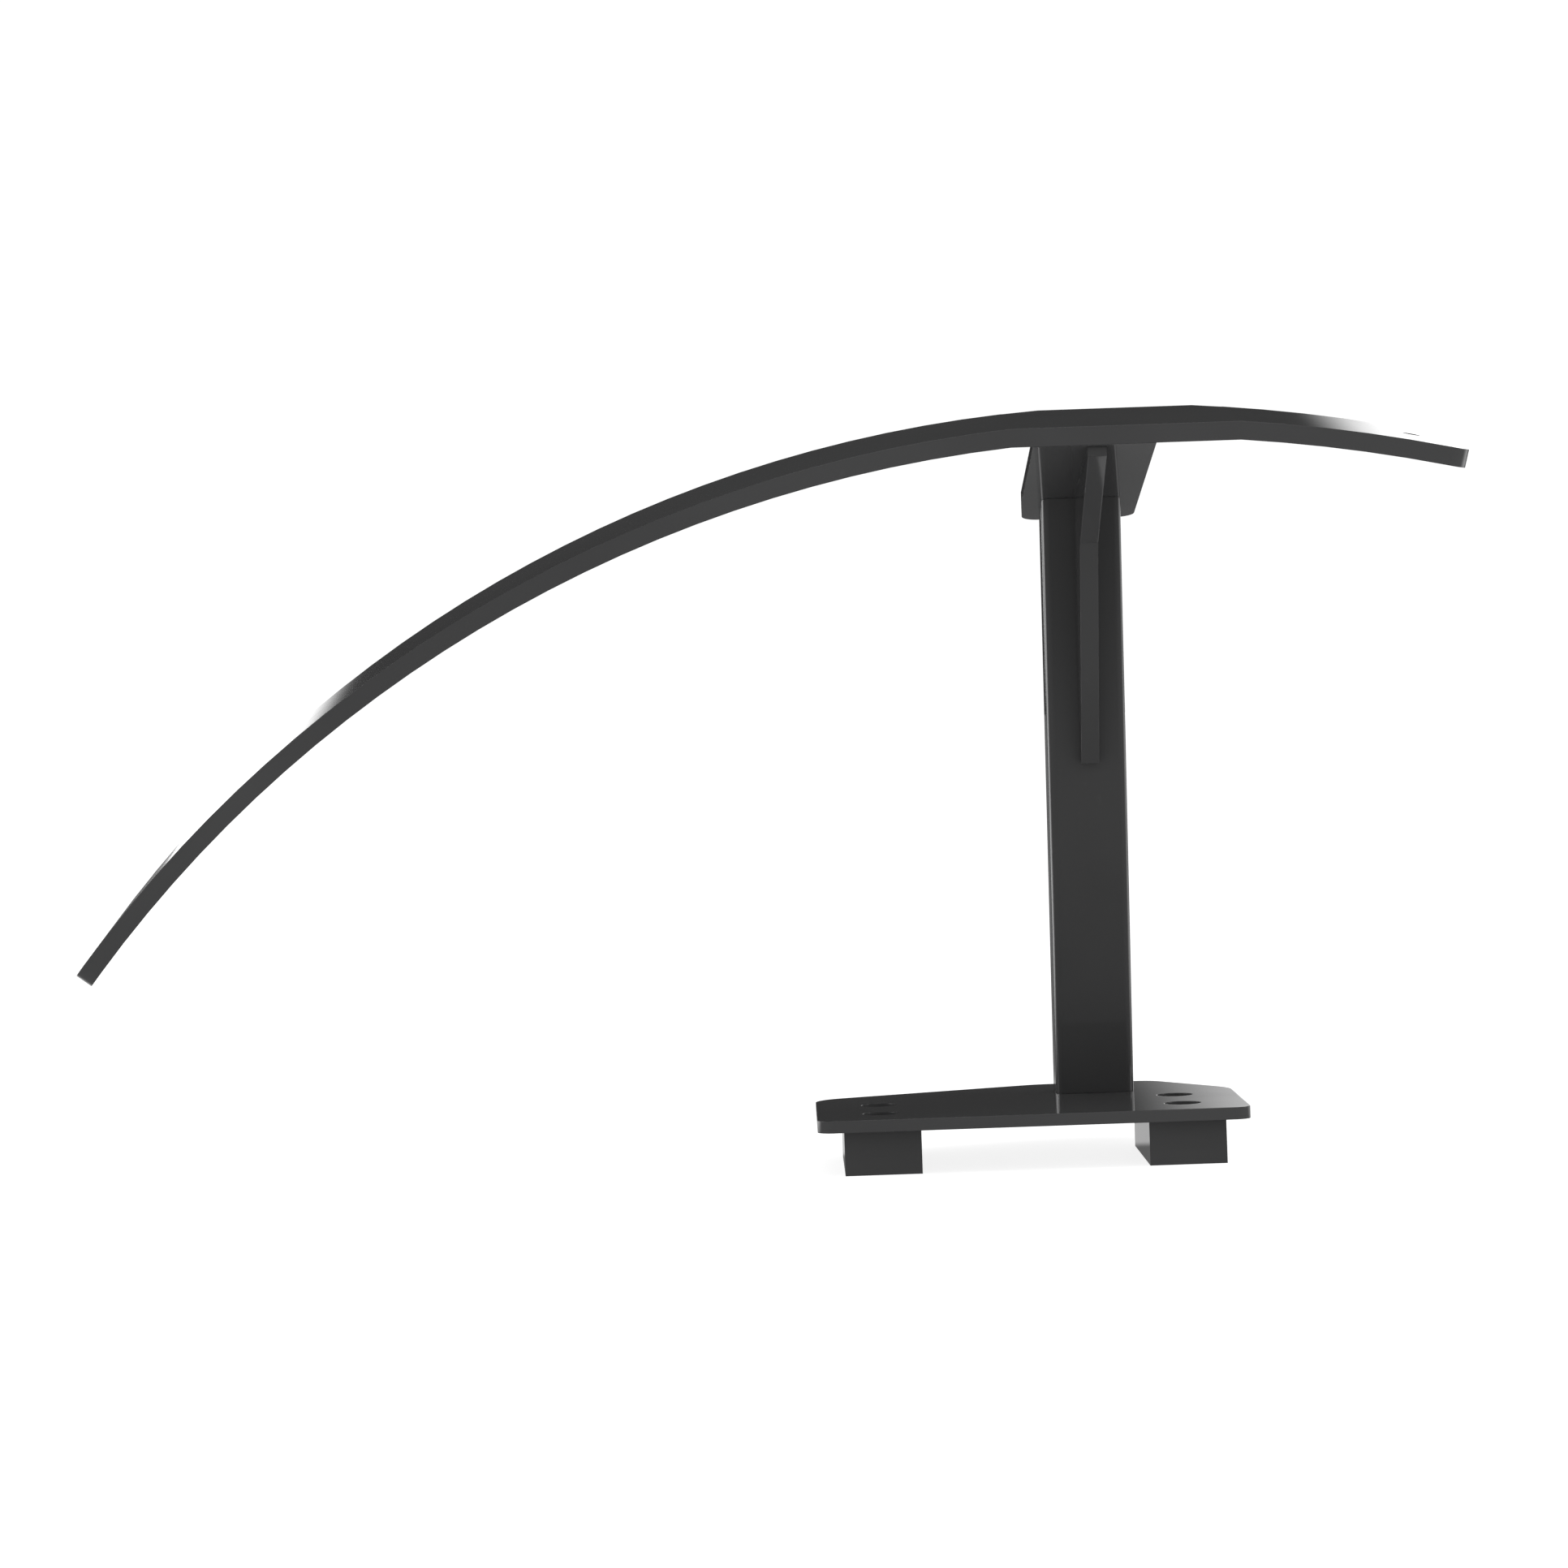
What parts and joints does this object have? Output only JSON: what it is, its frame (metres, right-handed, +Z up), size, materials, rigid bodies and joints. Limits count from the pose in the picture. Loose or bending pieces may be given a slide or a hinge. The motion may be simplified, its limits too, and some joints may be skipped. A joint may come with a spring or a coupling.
{
  "type": "curved blade stand",
  "caption": "Bolted base plate on two bars with a leaning tubular post that carries a long curved blade on a sloping strut plate and rib.",
  "frame": {"origin": "centre of the four base holes, in the plane of the bars' undersides, where the part is bolted down", "axes": "+X along the base plate's near edge towards the short arm of the blade, +Y away from that edge, +Z up along the base bolts"},
  "size_m": [0.6831, 0.2118, 0.3754],
  "materials": {
    "dark_paint": "gloss"
  },
  "bodies": {
    "root": {"base_plate": "dark_paint", "left_spacer_bar": "dark_paint", "right_spacer_bar": "dark_paint", "post_tube": "dark_paint", "strut_plate": "dark_paint", "front_rib": "dark_paint", "curved_blade": "dark_paint"}
  },
  "joints": []
}
